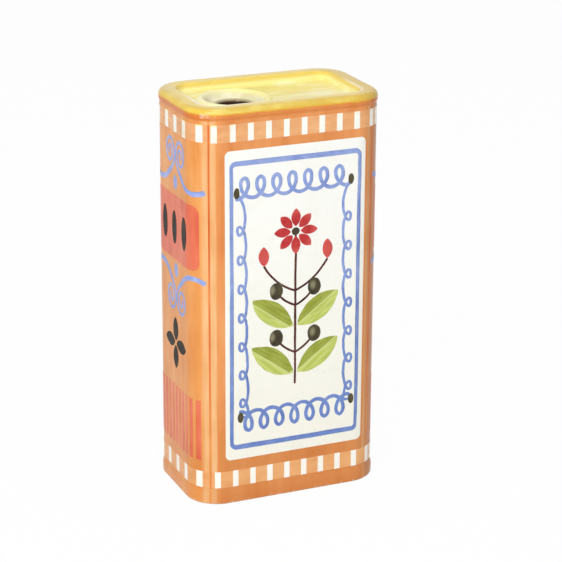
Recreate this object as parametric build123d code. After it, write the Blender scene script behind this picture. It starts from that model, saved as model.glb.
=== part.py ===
from build123d import *
import math
import os

os.makedirs("parts", exist_ok=True)

# Overall size of the glazed vessel in millimetres: base at Z 0, front at -Y, spout at -X
height = 240.0
width = 118.0
depth = 74.0
corner_radius = 19.0

# Thickness of each layer of the wall, from the inside out
wall_thickness = 4.5
glaze_thickness = 0.3
paint_thickness = 0.1
slip_thickness = 0.5

# Foot: a bare ring to stand on, a soft bead above it, and a floor set up inside
foot_edge_radius = 1.5
foot_bead = 0.8
foot_bead_height = 6.0
foot_bead_radius = 1.5
foot_blend_height = 10.0
foot_blend_radius = 4.0
foot_bare_height = 0.6
floor_lift = 2.0
floor_thickness = 5.0

# Rolled rim: it stands a little proud of the wall, and its glaze changes colour part of the way up
crease_drop = 6.4
crease_radius = 1.0
roll_drop = 5.4
roll_blend_radius = 1.0
rim_overhang = 0.5
rim_height = 2.6
rim_outer_radius = 3.4
rim_inner_radius = 0.9
rim_width = 9.3
recess_depth = 5.0
recess_slope = 2.6
recess_floor_radius = 1.2
rim_shelf = 13.0
panel_thickness = 4.5

# Pouring collar: a raised ring with a dished mouth and a straight throat
collar_x = -21.0
collar_height = 1.7
crest_radius = 19.5
crest_outer_round = 2.83
crest_inner_round = 2.0
outer_slope_angle = 60.0
outer_foot_angle = 14.0
dish_steep_angle = 42.0
dish_flat_angle = 12.0
throat_edge_round = 2.0
throat_radius = 10.0
throat_bottom_drop = 14.0
spigot_radius = 17.0
foot_margin = 0.5

# Striped bands near the top and the foot
band_height = 10.2
upper_band_drop = 19.2
lower_band_z = 10.5
front_bar_width = 3.5
front_bar_pitch = 10.95
front_bar_count = 10
side_bar_width = 4.4
side_bar_pitch = 13.4
side_bar_count = 5
upper_front_bar_shift = 1.2
upper_side_bar_shift = 4.4
lower_front_bar_shift = 2.6
lower_side_bar_shift = 2.9

# Pale columns on the four corners, each with a thin line; runs are from the middle of a side wall
column_start = 33.2
column_end = 41.0
line_start = 36.3
line_end = 37.3

# Front label, its blue keyline and the looped border
label_width = 87.5
label_height = 188.0
label_radius = 3.2
label_x = 1.8
label_z = 121.6
keyline_width = 81.8
keyline_height = 175.5
keyline_radius = 3.8
keyline_side_stroke = 2.1
keyline_end_stroke = 2.9
border_x = 1.8
border_width = 71.0
border_height = 136.8
border_z = 122.6
border_lean = 0.9
top_loop_stroke = 2.2
side_loop_stroke = 1.65
loop_joint_share = 1.04
border_sag_share = 0.25
top_loop_count = 7
top_loop_pitch = 9.8
top_loop_rise = 11.9
top_loop_sway = 4.5
top_loop_sag = 3.4
side_loop_count = 7
side_loop_pitch = 17.6
side_loop_rise = 5.0
side_loop_sway = 6.2
corner_dot_width = 3.6
corner_dot_height = 6.4

# Posy in the middle of the label
posy_foot_z = 70.0
stem_stroke = 1.3
leaf_length = 32.0
leaf_width = 14.0
leaf_pair_count = 2
leaf_first_z = 77.0
leaf_pair_pitch = 29.0
leaf_angle = 36.0
berry_width = 8.4
berry_height = 10.4
berry_reach = 12.0
berry_lift = 23.0
stalk_rise = 10.0
stalk_bend_shares = (0.67, 0.5)
flower_z = 164.0
petal_length = 13.5
petal_width = 5.6
petal_count = 8
flower_heart_radius = 2.4
bud_reach = 20.0
bud_z = 145.0
bud_stalk_rise = 17.0
bud_length = 12.0
bud_width = 6.5

# Side walls: a red panel, blue scrolls above and below it, a rosette and a row of bars
side_art_shift = 1.6
panel_width = 56.5
panel_height = 39.0
panel_radius = 5.0
panel_z = 163.5
panel_drop_length = 20.0
panel_drop_width = 7.0
panel_drop_pitch = 15.0
panel_drop_count = 3
scroll_shift = 3.6
swash_stroke = 2.9
scroll_stroke = 1.9
scroll_reach = 8.0
scroll_width = 14.4
scroll_height = 18.6
scroll_turns = 1.7
scroll_start_turn = 0.56
scroll_eye_share = 0.18
upper_scroll_z = 208.0
lower_scroll_z = 120.8
swash_drop = 18.4
swash_reach = 29.0
swash_tip_lift = 2.0
swash_point_shares = [(0.78, 1.0), (0.5, 0.88), (0.24, 0.56)]
scroll_dot_width = 5.6
scroll_dot_height = 8.6
scroll_dot_drop = 17.0
rosette_z = 92.0
rosette_petal_length = 16.0
rosette_petal_width = 8.0
rosette_gap = 1.3
side_stripe_width = 3.0
side_stripe_pitch = 5.4
side_stripe_count = 11
side_stripe_z = 46.2
side_stripe_height = 37.5

# One overrun serves all cuts, and one step count all drawn curves
cut_overrun = 1.0
curve_steps = 8

# Sizes that follow from the ones above
flat_x = width / 2 - corner_radius
flat_y = depth / 2 - corner_radius
clay_inside = glaze_thickness + wall_thickness
liner_inside = clay_inside + glaze_thickness
outermost = rim_overhang + cut_overrun
recess_edge = rim_width + recess_slope
panel_edge = rim_shelf + slip_thickness
recess_z = height - recess_depth
panel_top_z = recess_z - glaze_thickness
panel_bottom_z = panel_top_z - panel_thickness
rim_bottom_z = height - rim_height
wall_top_z = panel_bottom_z - slip_thickness
floor_top_z = floor_lift + floor_thickness
crest_z = recess_z + collar_height
throat_bottom_z = height - throat_bottom_drop
upper_band_z = height - upper_band_drop


def block(low_x, high_x, low_z, high_z):
    """A rectangle in the plane of a section, given by its edges."""
    middle = Pos((low_x + high_x) / 2, (low_z + high_z) / 2)
    return middle * Rectangle(high_x - low_x, high_z - low_z)


def ring(section):
    """Carry a section, drawn as outward offset and height, once round the four walls."""
    upright = Plane.XZ * section
    corner = revolve(Pos(corner_radius, 0, 0) * upright, Axis.Z, revolution_arc=90)
    pieces = []
    for quarter in range(4):
        turn = Rot(0, 0, 90 * quarter)
        across, along = (flat_x, flat_y) if quarter % 2 == 0 else (flat_y, flat_x)
        start = Pos(across + corner_radius, -along, 0) * upright
        straight = extrude(start, amount=2 * along, dir=(0, 1, 0))
        pieces.append(turn * straight)
        pieces.append(turn * Pos(across, along, 0) * corner)
    return pieces[0].fuse(*pieces[1:]).clean()


def plate(inset, low_z, high_z):
    """A flat plate with the outline of the wall, set in by an inset."""
    outline = RectangleRounded(width - 2 * inset, depth - 2 * inset, corner_radius - inset)
    return extrude(Pos(0, 0, low_z) * outline, amount=high_z - low_z)


def finished_fill():
    """All that lies inside the glazed surface, from the foot over the rim into the recess."""
    deep = -(panel_edge + cut_overrun)
    points = [
        (deep, 0),
        (foot_bead, 0),
        (foot_bead, foot_bead_height),
        (0, foot_blend_height),
        (0, height - crease_drop),
        (rim_overhang, height - roll_drop),
        (rim_overhang, height),
        (-rim_width, height),
        (-recess_edge, recess_z),
        (deep, recess_z),
    ]
    radii = [
        0,
        foot_edge_radius,
        foot_bead_radius,
        foot_blend_radius,
        crease_radius,
        roll_blend_radius,
        rim_outer_radius,
        rim_inner_radius,
        recess_floor_radius,
        0,
    ]
    return make_face(FilletPolyline(*points, radius=radii, close=True))


def clay_fill(fill):
    """The same region without its glaze."""
    return offset(fill, amount=-glaze_thickness)


def collar_fill():
    """All that lies under the glazed surface of the collar, drawn as radius and height."""
    steep = math.radians(dish_steep_angle)
    flat = math.radians(dish_flat_angle)
    dish_run = crest_radius - throat_radius
    dish_run -= crest_inner_round * math.sin(steep)
    dish_run -= throat_edge_round * (1 - math.sin(flat))
    dish_radius = dish_run / (math.sin(steep) - math.sin(flat))
    slope = math.radians(outer_slope_angle)
    foot = math.radians(outer_foot_angle)
    foot_drop = collar_height - crest_outer_round * (1 - math.cos(slope))
    foot_radius = foot_drop / (math.cos(foot) - math.cos(slope))
    crest = (crest_radius, crest_z)
    lip = JernArc(crest, (-1, 0), crest_inner_round, dish_steep_angle)
    dish = JernArc(lip @ 1, lip % 1, dish_radius, dish_flat_angle - dish_steep_angle)
    edge = JernArc(dish @ 1, dish % 1, throat_edge_round, 90 - dish_flat_angle)
    back = JernArc(crest, (1, 0), crest_outer_round, -outer_slope_angle)
    skirt = JernArc(back @ 1, back % 1, foot_radius, outer_slope_angle - outer_foot_angle)
    far = crest_radius + 2 * spigot_radius
    below = throat_bottom_z - throat_radius
    rest = Polyline(edge @ 1, (throat_radius, below), (far, below), (far, recess_z), skirt @ 1)
    return make_face([lip, dish, edge, back, skirt, rest]), (skirt @ 1).X + foot_margin


def turned(section):
    """Turn a section, drawn as radius and height, about the axis of the throat."""
    return Pos(collar_x, 0, 0) * revolve(Plane.XZ * section, Axis.Z)


def vessel_walls(clay, fill):
    """The wall ring, glazed down to a bare foot."""
    body = clay & block(-clay_inside, outermost, foot_bare_height, wall_top_z)
    foot = fill & block(-clay_inside, outermost, 0, foot_bare_height)
    return ring(body + foot)


def base_slab():
    """The floor inside the walls."""
    return plate(clay_inside + slip_thickness, floor_lift, floor_top_z)


def rolled_rim(clay):
    """The rim on the walls, with the shelf that takes the panel."""
    return ring(clay & block(-rim_shelf, outermost, panel_bottom_z, height))


def top_panel():
    """The recessed plate with its hole."""
    hole = Pos(collar_x, 0, panel_bottom_z - cut_overrun) * Cylinder(
        spigot_radius + slip_thickness,
        panel_thickness + 2 * cut_overrun,
        align=(Align.CENTER, Align.CENTER, Align.MIN),
    )
    return plate(panel_edge, panel_bottom_z, panel_top_z) - hole


def pouring_collar(clay):
    """The dished ring on the panel, with the spigot that hangs in the panel's hole."""
    spigot = clay & block(0, spigot_radius, throat_bottom_z, panel_top_z)
    dish = clay & block(0, crest_radius + spigot_radius, panel_top_z, height)
    return turned(spigot + dish)


def slip_joints():
    """The luted seams between the clay pieces."""
    base = ring(block(-clay_inside - slip_thickness, -clay_inside, floor_lift, floor_top_z))
    rim = ring(block(-clay_inside, -glaze_thickness, wall_top_z, panel_bottom_z))
    panel = ring(block(-panel_edge, -rim_shelf, panel_bottom_z, panel_top_z))
    seam = block(spigot_radius, spigot_radius + slip_thickness, panel_bottom_z, panel_top_z)
    return {
        "base_joint_slip": base,
        "rim_joint_slip": rim,
        "panel_joint_slip": panel,
        "collar_joint_slip": turned(seam),
    }


def liner_glaze():
    """The clear glaze on the inside of walls, floor and panel."""
    outer = plate(clay_inside, floor_top_z, panel_bottom_z)
    inner = plate(liner_inside, floor_top_z + glaze_thickness, panel_bottom_z - glaze_thickness)
    hole = Pos(collar_x, 0, panel_bottom_z) * Cylinder(spigot_radius, 2 * cut_overrun)
    return outer - inner - hole


def wall_glaze(clay, fill):
    """The orange skin of the walls, from the foot line up to the roll of the rim."""
    return ring((fill - clay) & block(-clay_inside, outermost, foot_bare_height, rim_bottom_z))


def top_glaze(clay, fill, collar_clay, collar, collar_foot):
    """The yellow skin of the rim, the recess, the collar and the throat."""
    over_rim = block(-panel_edge, outermost, rim_bottom_z, height)
    into_recess = block(-panel_edge, -clay_inside, panel_top_z, height)
    rim = ring((fill - clay) & (over_rim + into_recess))
    floor = plate(panel_edge, panel_top_z, recess_z)
    floor -= Pos(collar_x, 0, recess_z) * Cylinder(collar_foot, 2 * recess_depth)
    skin = (collar - collar_clay) & block(0, collar_foot, throat_bottom_z, height)
    under = collar_clay & block(0, collar_foot, panel_top_z, height)
    return rim.fuse(floor, turned(skin)) - turned(under)


def paint_ring(layer, low_z, high_z):
    """A layer of paint all round the walls: layer 0 lies on the glaze, layer 1 on layer 0."""
    low = layer * paint_thickness
    return ring(block(low, low + paint_thickness, low_z, high_z))


def through_wall(art, reach):
    """Artwork, drawn as X and Z, as blocks that run through a wall facing -Y."""
    start = Plane.XZ.offset(reach - corner_radius)
    shapes = art if isinstance(art, list) else [art]
    return [extrude(start * shape, amount=corner_radius + outermost) for shape in shapes]


def on_front(art, paint):
    """Cut front artwork out of a layer of paint."""
    return [paint & prism for prism in through_wall(art, depth / 2)]


def on_left(art, paint):
    """Cut artwork out of a layer of paint on the left wall, drawn with the front to its right."""
    return [paint & (Rot(0, 0, -90) * prism) for prism in through_wall(art, width / 2)]


def place_along(run, half_flat, reach):
    """The place on a wall that faces -Y, at a run from its middle that may go round a corner."""
    sign = math.copysign(1, run)
    past = max(abs(run) - half_flat, 0)
    turn = past / corner_radius
    x = min(abs(run), half_flat) + corner_radius * math.sin(turn)
    y = corner_radius * (1 - math.cos(turn)) - reach
    return Pos(sign * x, y, 0) * Rot(0, 0, sign * math.degrees(turn))


def band_bars(low_z, front_shift, side_shift):
    """The white bars of one band, those of the front and of the left wall mirrored across."""
    paint = paint_ring(1, low_z, low_z + band_height)
    tall = band_height + 2 * cut_overrun
    thick = 2 * (outermost + paint_thickness)
    front_bar = Pos(0, 0, low_z + band_height / 2) * Box(front_bar_width, thick, tall)
    side_bar = Pos(0, 0, low_z + band_height / 2) * Box(side_bar_width, thick, tall)
    bars = []
    for index in range(front_bar_count):
        run = (index - (front_bar_count - 1) / 2) * front_bar_pitch + front_shift
        bar = place_along(run, flat_x, depth / 2) * front_bar
        bars += [bar, Rot(0, 0, 180) * bar]
    for index in range(side_bar_count):
        run = (index - (side_bar_count - 1) / 2) * side_bar_pitch + side_shift
        bar = Rot(0, 0, -90) * place_along(run, flat_y, width / 2) * side_bar
        bars += [bar, mirror(bar, about=Plane.YZ)]
    return [paint & bar for bar in bars]


def corner_strips(layer, low_z, high_z, run_start, run_end):
    """An upright strip on each corner, between two runs from the middle of the side wall."""
    low = corner_radius + layer * paint_thickness
    section = Plane.XZ * block(low, low + paint_thickness, low_z, high_z)
    sweep_angle = math.degrees((run_end - run_start) / corner_radius)
    start_angle = math.degrees((run_start - flat_y) / corner_radius)
    strip = revolve(section, Axis.Z, revolution_arc=sweep_angle)
    first = Pos(flat_x, flat_y, 0) * Rot(0, 0, start_angle) * strip
    pair = [first, mirror(first, about=Plane.XZ)]
    return pair + [mirror(piece, about=Plane.YZ) for piece in pair]


def ribbon(points, half_widths):
    """A painted stroke through points, with its half width at each point."""
    left = []
    right = []
    last = len(points) - 1
    for index, (x, y) in enumerate(points):
        before = points[max(index - 1, 0)]
        after = points[min(index + 1, last)]
        run = math.hypot(after[0] - before[0], after[1] - before[1])
        across_x = -(after[1] - before[1]) / run * half_widths[index]
        across_y = (after[0] - before[0]) / run * half_widths[index]
        left.append((x + across_x, y + across_y))
        right.append((x - across_x, y - across_y))
    sides = [Spline(*left), Spline(*right)]
    ends = [Line(left[0], right[0]), Line(left[-1], right[-1])]
    return make_face(sides + ends)


def even_ribbon(points, stroke):
    """A stroke of one width."""
    return ribbon(points, [stroke / 2] * len(points))


def loop_run(count, pitch, rise, sway, stroke, first, last):
    """A looped line from the origin along X, led in and out to two points, with rounded joints."""
    joint = Circle(stroke / 2 * loop_joint_share)
    end = count * pitch
    sag = ((end + last[0]) / 2, last[1] * border_sag_share)
    strokes = [even_ribbon([first, (0, 0)], stroke), joint]
    for half in range(2 * count):
        points = []
        for step in range(curve_steps + 1):
            angle = math.pi * (half + step / curve_steps)
            x = pitch * angle / (2 * math.pi) + sway * math.sin(angle)
            points.append((x, rise * (1 - math.cos(angle)) / 2))
        strokes += [even_ribbon(points, stroke), Pos(*points[-1]) * joint]
    return strokes + [even_ribbon([(end, 0), sag, last], stroke)]


def border_place():
    """The middle of the looped border, which leans a little to one side."""
    return Pos(border_x, border_z) * Rot(0, 0, border_lean)


def loop_border():
    """The looped line round the label, from corner dot to corner dot."""
    sizes = [top_loop_count, top_loop_pitch, top_loop_rise, top_loop_sway, top_loop_stroke]
    top = loop_run(*sizes, (0, top_loop_sag), (border_width, top_loop_sag))
    sizes = [side_loop_count, side_loop_pitch, side_loop_rise, side_loop_sway, side_loop_stroke]
    side = loop_run(*sizes, (0, side_loop_rise), (border_height, side_loop_rise))
    top = [Pos(-border_width / 2, border_height / 2 - top_loop_sag) * stroke for stroke in top]
    corner = Pos(side_loop_rise - border_width / 2, -border_height / 2)
    side = [corner * Rot(0, 0, 90) * stroke for stroke in side]
    strokes = top + [mirror(stroke, about=Plane.XZ) for stroke in top]
    strokes += side + [mirror(stroke, about=Plane.YZ) for stroke in side]
    return border_place() * strokes[0].fuse(*strokes[1:])


def corner_dots():
    """A dark dot at each corner of the looped border."""
    dot = Ellipse(corner_dot_width / 2, corner_dot_height / 2)
    spread = GridLocations(border_width, border_height, 2, 2)
    return [border_place() * place * dot for place in spread]


def keyline():
    """The blue frame, a little heavier at its head and foot."""
    outer = RectangleRounded(keyline_width, keyline_height, keyline_radius)
    inner = RectangleRounded(
        keyline_width - 2 * keyline_side_stroke,
        keyline_height - 2 * keyline_end_stroke,
        keyline_radius - keyline_side_stroke,
    )
    return Pos(label_x, label_z) * (outer - inner)


def petal(length, breadth):
    """A pointed leaf or petal along +Y from the origin."""
    tip = (0, length)
    left = ThreePointArc((0, 0), (-breadth / 2, length / 2), tip)
    right = ThreePointArc((0, 0), (breadth / 2, length / 2), tip)
    return make_face([left, right])


def both_hands(shape):
    """A shape and its mirror image, centred on the label."""
    return [Pos(label_x, 0) * shape, Pos(label_x, 0) * mirror(shape, about=Plane.YZ)]


def posy_stems():
    """The upright stem, and an arched stalk to each berry and bud."""
    main = even_ribbon([(0, posy_foot_z), (0, flower_z - flower_heart_radius)], stem_stroke)
    stalks = []
    for pair in range(leaf_pair_count):
        high = leaf_first_z + pair * leaf_pair_pitch + berry_lift
        stalks += both_hands(arched_stalk(berry_reach, high, stalk_rise))
    stalks += both_hands(arched_stalk(bud_reach, bud_z, bud_stalk_rise))
    return (Pos(label_x, 0) * main).fuse(*stalks)


def arched_stalk(reach, high, rise):
    """A stalk that leaves the stem and bends up to its end."""
    out_share, drop_share = stalk_bend_shares
    bend = (reach * out_share, high - rise * drop_share)
    return even_ribbon([(0, high - rise), bend, (reach, high)], stem_stroke)


def posy_leaves():
    """Pairs of broad leaves that rise from the stem."""
    leaves = []
    for pair in range(leaf_pair_count):
        foot = leaf_first_z + pair * leaf_pair_pitch
        place = Pos(stem_stroke, foot) * Rot(0, 0, leaf_angle - 90)
        leaves += both_hands(place * petal(leaf_length, leaf_width))
    return leaves


def posy_berries():
    """A berry at the end of each stalk, and one in the flower's heart."""
    berry = Ellipse(berry_width / 2, berry_height / 2)
    berries = [Pos(label_x, flower_z) * Circle(flower_heart_radius)]
    for pair in range(leaf_pair_count):
        high = leaf_first_z + pair * leaf_pair_pitch + berry_lift
        berries += both_hands(Pos(berry_reach, high) * berry)
    return berries


def posy_flowers():
    """A rosette of petals at the head, and a bud on either side."""
    inner = flower_heart_radius + stem_stroke / 2
    flowers = []
    for index in range(petal_count):
        place = Pos(label_x, flower_z) * Rot(0, 0, 360 * index / petal_count) * Pos(0, inner)
        flowers.append(place * petal(petal_length - inner, petal_width))
    flowers += both_hands(Pos(bud_reach, bud_z) * petal(bud_length, bud_width))
    return flowers


def scroll(direction):
    """One volute and its swash; the volute stands above, and direction is 1 or -1 along X."""
    points = [(direction * swash_reach, swash_tip_lift - swash_drop)]
    for out_share, drop_share in swash_point_shares:
        points.append((direction * swash_reach * out_share, -swash_drop * drop_share))
    steps = round(2 * curve_steps * scroll_turns)
    for step in range(steps + 1):
        share = step / steps
        angle = 2 * math.pi * (scroll_start_turn - scroll_turns * share)
        shrink = 1 - (1 - scroll_eye_share) * share
        x = scroll_reach + scroll_width / 2 * shrink * math.cos(angle)
        points.append((direction * x, scroll_height / 2 * shrink * math.sin(angle)))
    half_widths = [swash_stroke / 2] * (1 + len(swash_point_shares))
    half_widths += [scroll_stroke / 2] * (steps + 1)
    return ribbon(points, half_widths)


def scrolls():
    """Two pairs of volutes, one above the panel and one turned over below it."""
    dot = Pos(0, -scroll_dot_drop) * Ellipse(scroll_dot_width / 2, scroll_dot_height / 2)
    pair = [scroll(1), scroll(-1), dot]
    upper = [Pos(scroll_shift, upper_scroll_z) * piece for piece in pair]
    lower = [Pos(scroll_shift, lower_scroll_z) * mirror(piece, about=Plane.XZ) for piece in pair]
    return upper + lower


def side_panel():
    """The red panel."""
    return Pos(side_art_shift, panel_z) * RectangleRounded(panel_width, panel_height, panel_radius)


def panel_drops():
    """A row of dark drops in the red panel."""
    drop = Ellipse(panel_drop_width / 2, panel_drop_length / 2)
    spread = GridLocations(panel_drop_pitch, 0, panel_drop_count, 1)
    return [Pos(side_art_shift, panel_z) * place * drop for place in spread]


def rosette():
    """Four dark petals between the lower scrolls and the bars."""
    petals = []
    for quarter in range(4):
        turn = Rot(0, 0, 90 * quarter) * Pos(0, rosette_gap)
        leaf = petal(rosette_petal_length - rosette_gap, rosette_petal_width)
        petals.append(Pos(side_art_shift, rosette_z) * turn * leaf)
    return petals


def side_bars():
    """The row of upright red bars."""
    bar = Rectangle(side_stripe_width, side_stripe_height)
    spread = GridLocations(side_stripe_pitch, 0, side_stripe_count, 1)
    return [Pos(side_art_shift, side_stripe_z) * place * bar for place in spread]


def gathered(shapes):
    """One compound of the solids in a shape or a list of shapes."""
    shapes = shapes if isinstance(shapes, list) else [shapes]
    return Compound([solid for shape in shapes for solid in shape.solids()])


def front_art():
    """Every painted piece of the front, by name."""
    low_z = lower_band_z + band_height
    ground = paint_ring(0, low_z, upper_band_z)
    over = paint_ring(1, low_z, upper_band_z)
    label = Pos(label_x, label_z) * RectangleRounded(label_width, label_height, label_radius)
    return {
        "label_ground": on_front(label, ground),
        "keyline": on_front(keyline(), over),
        "loop_border": on_front(loop_border() - corner_dots(), over),
        "corner_dots": on_front(corner_dots(), over),
        "posy_stems": on_front(posy_stems() - posy_berries() - posy_leaves() - posy_flowers(), over),
        "posy_leaves": on_front(posy_leaves(), over),
        "posy_berries": on_front(posy_berries(), over),
        "posy_flowers": on_front(posy_flowers(), over),
    }


def left_art():
    """Every painted piece of the left wall, by name."""
    low_z = lower_band_z + band_height
    ground = paint_ring(0, low_z, upper_band_z)
    over = paint_ring(1, low_z, upper_band_z)
    return {
        "panel": on_left(side_panel(), ground),
        "panel_drops": on_left(panel_drops(), over),
        "scrolls": on_left(scrolls(), ground),
        "rosette": on_left(rosette(), ground),
        "side_bars": on_left(side_bars(), ground),
    }


def all_pieces():
    """Every piece of the vessel, by name."""
    fill = finished_fill()
    clay = clay_fill(fill)
    collar, collar_foot = collar_fill()
    collar_clay = clay_fill(collar)
    pieces = {
        "vessel_walls": vessel_walls(clay, fill),
        "base_slab": base_slab(),
        "rolled_rim": rolled_rim(clay),
        "top_panel": top_panel(),
        "pouring_collar": pouring_collar(collar_clay),
        "liner_glaze": liner_glaze(),
        "wall_glaze": wall_glaze(clay, fill),
        "top_glaze": top_glaze(clay, fill, collar_clay, collar, collar_foot),
        "upper_band_ground": paint_ring(0, upper_band_z, upper_band_z + band_height),
        "lower_band_ground": paint_ring(0, lower_band_z, lower_band_z + band_height),
        "upper_band_bars": band_bars(upper_band_z, upper_front_bar_shift, upper_side_bar_shift),
        "lower_band_bars": band_bars(lower_band_z, lower_front_bar_shift, lower_side_bar_shift),
    }
    pieces.update(slip_joints())
    low_z = lower_band_z + band_height
    high_z = upper_band_z + band_height
    for name, art in front_art().items():
        pieces["front_" + name] = art
        pieces["back_" + name] = Rot(0, 0, 180) * gathered(art)
    for name, art in left_art().items():
        pieces["left_" + name] = art
        pieces["right_" + name] = mirror(gathered(art), about=Plane.YZ)
    columns = corner_strips(0, low_z, upper_band_z, column_start, column_end)
    swashes = gathered(pieces["left_scrolls"]).solids() + pieces["right_scrolls"].solids()
    pieces["corner_columns"] = [column - swashes for column in columns]
    lines = corner_strips(1, lower_band_z, high_z, line_start, line_end)
    bars = pieces["upper_band_bars"] + pieces["lower_band_bars"]
    pieces["corner_lines"] = [line - bars for line in lines]
    return pieces


for name, piece in all_pieces().items():
    export_step(gathered(piece), "parts/" + name + ".step")
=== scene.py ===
# %% [markdown]
# # A glazed oil vessel in the shape of a tall tin
# The real object is cast clay. It is fired, painted by hand with coloured glazes and fired again,
# so every surface is glossy, a little uneven, and never one flat colour.
# This first step brings in the measured parts. They could be modelled again, but they are exact, so
# they stay where they are, and what is modelled below sits in the same place, in metres.

# %% Load the measured parts
import math

import bpy
from mathutils import Matrix, Vector


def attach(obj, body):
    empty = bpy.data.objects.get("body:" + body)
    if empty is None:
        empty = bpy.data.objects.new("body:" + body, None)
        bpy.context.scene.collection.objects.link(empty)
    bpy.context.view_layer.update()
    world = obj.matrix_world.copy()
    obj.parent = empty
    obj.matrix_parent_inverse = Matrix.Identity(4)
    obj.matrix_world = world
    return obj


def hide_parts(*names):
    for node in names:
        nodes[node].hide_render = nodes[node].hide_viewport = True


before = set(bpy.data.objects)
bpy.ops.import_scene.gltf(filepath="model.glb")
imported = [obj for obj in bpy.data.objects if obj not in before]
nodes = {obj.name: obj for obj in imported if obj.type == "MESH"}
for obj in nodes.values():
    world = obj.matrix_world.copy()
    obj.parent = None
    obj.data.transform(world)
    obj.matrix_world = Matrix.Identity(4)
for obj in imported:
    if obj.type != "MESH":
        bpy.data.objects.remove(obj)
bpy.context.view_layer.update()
mm = 0.001

# %% [markdown]
# ## Working with sockets
# On the real vessel each colour changes from place to place, and a finish describes that change as a
# graph of nodes. The graph could be wired by hand in the node editor. Written as plain arithmetic it
# is shorter and easier to read, so a small class wraps a socket and turns `a * b` into a Math node.

# %% Sockets
class Wire:
    """A node's output, which Python's operators can calculate with."""

    def __init__(self, finish, socket):
        self.finish = finish
        self.socket = socket

    def math(self, operation, *values):
        return self.finish.add("Math", {"operation": operation}, dict(enumerate([self, *values])))

    def __add__(self, other):
        return self.math("ADD", other)

    def __sub__(self, other):
        return self.math("SUBTRACT", other)

    def __rsub__(self, other):
        return self.finish.add("Math", {"operation": "SUBTRACT"}, {0: other, 1: self})

    def __mul__(self, other):
        return self.math("MULTIPLY", other)

    __radd__ = __add__
    __rmul__ = __mul__


# %% [markdown]
# ## Building a finish
# Painted glaze is cloudy, has soft borders, and changes with the height. Such a finish could be set
# up anew each time, but the same few questions come back: where is this point, how cloudy is it
# there, is it past a border, and how far has one colour faded into another? Each has a method, and
# one general method adds any node.

# %% Finishes
even = (1, 1, 1)


class Finish:
    """The nodes of a material, or of the world."""

    def __init__(self, owner):
        owner.use_nodes = True
        self.owner = owner
        self.tree = owner.node_tree
        self.tree.nodes.clear()
        self.point = None

    def add(self, kind, settings=None, inputs=None, out=0):
        """A node with its settings, and the values or wires of its sockets."""
        node = self.tree.nodes.new("ShaderNode" + kind)
        for name, value in (settings or {}).items():
            setattr(node, name, value)
        for name, value in (inputs or {}).items():
            if isinstance(value, Wire):
                self.tree.links.new(value.socket, node.inputs[name])
            else:
                node.inputs[name].default_value = value
        return Wire(self, node.outputs[out]) if node.outputs else node

    def place(self):
        """Where a point lies on the piece; one node tells the whole finish."""
        if self.point is None:
            self.point = self.add("TexCoord", out="Object")
        return self.point

    def axis(self, letter):
        return self.add("SeparateXYZ", None, {0: self.place()}, out=letter)

    def noise(self, feature, stretch=even, detail=2.0, shift=0.0):
        """Soft cloudy values round 0.5, with features of that size in metres."""
        scale = [1 / (feature * along) for along in stretch]
        inputs = {"Vector": self.place(), "Scale": scale, "Location": (shift, shift, shift)}
        spread = self.add("Mapping", {"vector_type": "POINT"}, inputs)
        inputs = {"Vector": spread, "Scale": 1.0, "Detail": detail, "Roughness": 0.55}
        return self.add("TexNoise", {"noise_dimensions": "3D"}, inputs)

    def fade(self, value, low, high):
        """0 up to low, 1 from high on, and a soft step between; low may be the larger one."""
        inputs = {"Value": value, 1: low, 2: high, 3: 0.0, 4: 1.0}
        return self.add("MapRange", {"interpolation_type": "SMOOTHSTEP", "clamp": True}, inputs)

    def window(self, value, start, full, last, end):
        """1 from full to last, fading to 0 at start and at end; the four are in millimetres."""
        return self.fade(value, start * mm, full * mm) * self.fade(value, end * mm, last * mm)

    def mix(self, factor, low, high):
        """One colour fading into another."""
        settings = {"data_type": "RGBA", "clamp_factor": True}
        return self.add("Mix", settings, {0: factor, 6: low, 7: high}, out=2)


def new_finish(name):
    return Finish(bpy.data.materials.new(name))


# %% [markdown]
# ## Tints and paints
# A painter mixes few paints and lays them thick or thin. Their colours are easiest to choose as a
# paint chart gives them, from 0 to 255, but a shader calculates with linear light, so a function
# turns one into the other. A paint here is three tints: where it lies thick, as it is, and where it
# is thin.

# %% Tints and paints
def tint(red, green, blue):
    """A colour from 0 to 255, made linear for the shader."""
    def linear(value):
        value /= 255
        return value / 12.92 if value <= 0.04045 else ((value + 0.055) / 1.055) ** 2.4

    return (linear(red), linear(green), linear(blue), 1.0)


def paint(thick, plain, thin):
    """Three tints: where a paint lies thick, as it is, and where it is thin."""
    return [tint(*thick), tint(*plain), tint(*thin)]


print("middle grey as light:", round(tint(128, 128, 128)[0], 3))

# %% [markdown]
# ## The glaze
# All the colours lie in or under the same glassy coat. Its surface is not a mirror: it follows the
# slow waves of a hand-finished casting, longer up the wall than across it, with a very fine skin on
# top. The waves could be modelled, but they are too shallow to show in the outline, so a Bump node
# draws them. One helper gives the coat to every colour, so a highlight runs on from one to the next.

# %% One glassy coat for every colour
wave_length = 24 * mm
wave_depth = 0.9 * mm
skin_grain = 2.4 * mm
skin_share = 0.03
patch_size = 11 * mm
rough_change = 0.14
cloud_size = 32 * mm


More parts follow.
